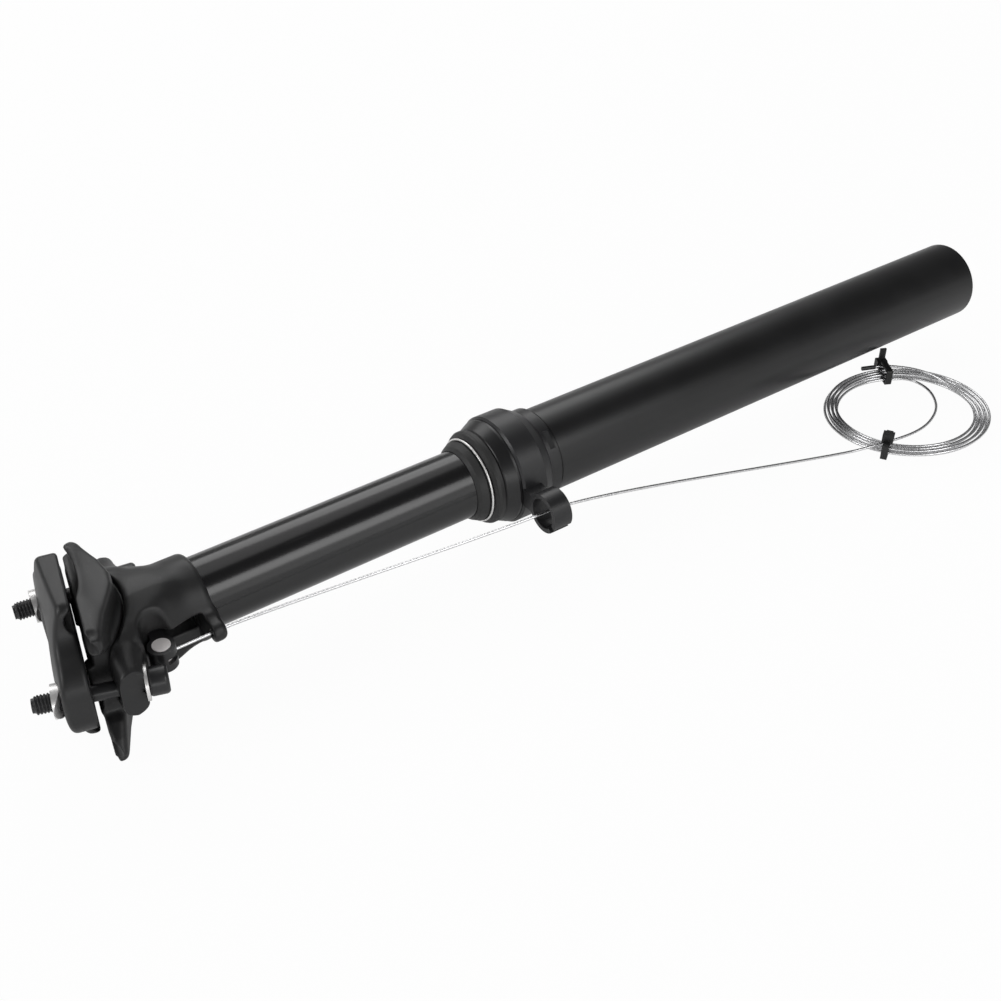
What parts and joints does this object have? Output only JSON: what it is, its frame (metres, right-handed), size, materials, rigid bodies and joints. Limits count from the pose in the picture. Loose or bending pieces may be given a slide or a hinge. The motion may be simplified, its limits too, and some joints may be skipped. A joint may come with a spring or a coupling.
{
  "type": "dropper seatpost",
  "caption": "Telescoping bicycle seatpost with a two-bolt saddle clamp, head lever, sliding upper tube, wiper collar with cable guide and a coiled steel control cable.",
  "frame": {"origin": "on the post axis, where the collar ends and the clamped length of outer tube starts", "axes": "+X down the post towards the lower end of the outer tube, -Y to the rear where the cable runs, +Z across the saddle clamp; the post lies on its side"},
  "size_m": [0.4196, 0.1011, 0.0549],
  "materials": {
    "black_anodised": "satin black anodised aluminium",
    "gloss_anodised": "polished black anodised aluminium",
    "satin_black": "shot-blasted black anodised forging",
    "black_nylon": "satin black moulded nylon",
    "seal_rubber": "matt black rubber",
    "bright_steel": "bright zinc-plated steel",
    "black_steel": "black oxide steel",
    "wire_steel": "stranded bright steel wire",
    "plain_aluminium": "plain machined aluminium",
    "chromed_rod": "polished chromed rod",
    "tie_nylon": "black nylon",
    "key_brass": "plain brass"
  },
  "bodies": {
    "lower_post": {"outer_tube": "black_anodised", "bottom_plug": "plain_aluminium", "plug_clip": "black_steel", "rod_nut": "black_steel", "upper_bushing": "black_nylon", "wiper_seal": "seal_rubber", "wiper_ring": "bright_steel", "collar_cap": "black_anodised", "cable_guide_ring": "black_nylon", "cartridge_rod": "chromed_rod", "cable_upper_run": "wire_steel", "cable_lower_run": "wire_steel", "cable_coil": "wire_steel", "coil_tie_upper": "tie_nylon", "coil_tie_lower": "tie_nylon", "cable_ferrule": "plain_aluminium"},
    "upper_post": {"stanchion": "gloss_anodised", "rotation_keys": "key_brass", "lower_bushing": "black_nylon", "gas_cartridge": "plain_aluminium", "head": "satin_black", "lever_pivot_pin": "black_steel", "front_clamp_bolt": "black_steel", "rear_clamp_bolt": "black_steel", "front_bolt_washer": "bright_steel", "rear_bolt_washer": "bright_steel"},
    "saddle_clamp": {"lower_cradle": "satin_black", "upper_clamp": "satin_black"},
    "front_nut": {"front_clamp_nut": "bright_steel"},
    "rear_nut": {"rear_clamp_nut": "bright_steel"},
    "lever": {"actuator_lever": "black_steel", "cable_nipple": "bright_steel", "cable_head_run": "wire_steel"},
    "valve": {"valve_pin": "plain_aluminium"}
  },
  "joints": [
    {"name": "post_slide", "type": "slide", "parent": "lower_post", "child": "upper_post", "axis": [1, 0, 0], "range_m": [0, 0.1], "deforming": ["cable_upper_run"]},
    {"name": "clamp_tilt", "type": "hinge", "parent": "upper_post", "child": "saddle_clamp", "pos_m": [-0.191, 0.004, 0], "axis": [0, 0, 1], "range_deg": [-5, 5]},
    {"name": "front_nut_rock", "type": "hinge", "parent": "saddle_clamp", "child": "front_nut", "pos_m": [-0.18605, 0.02544, 0], "axis": [0, 0, 1], "range_deg": [-5, 5]},
    {"name": "rear_nut_rock", "type": "hinge", "parent": "saddle_clamp", "child": "rear_nut", "pos_m": [-0.19595, -0.01744, 0], "axis": [0, 0, 1], "range_deg": [-5, 5]},
    {"name": "lever_pull", "type": "hinge", "parent": "upper_post", "child": "lever", "pos_m": [-0.1534, 0.0086, 0], "axis": [0, 0, 1], "range_deg": [0, 10], "stiffness_Nm_per_rad": 0.8, "springref_deg": -11.46, "deforming": ["cable_head_run"]},
    {"name": "valve_push", "type": "slide", "parent": "upper_post", "child": "valve", "axis": [1, 0, 0], "range_m": [0, 0.00152]}
  ],
  "couplings": [
    {"joint": "front_nut_rock", "follows": "clamp_tilt", "ratio": -1},
    {"joint": "rear_nut_rock", "follows": "clamp_tilt", "ratio": -1},
    {"joint": "valve_push", "follows": "lever_pull", "m_per_rad": 0.0086}
  ]
}
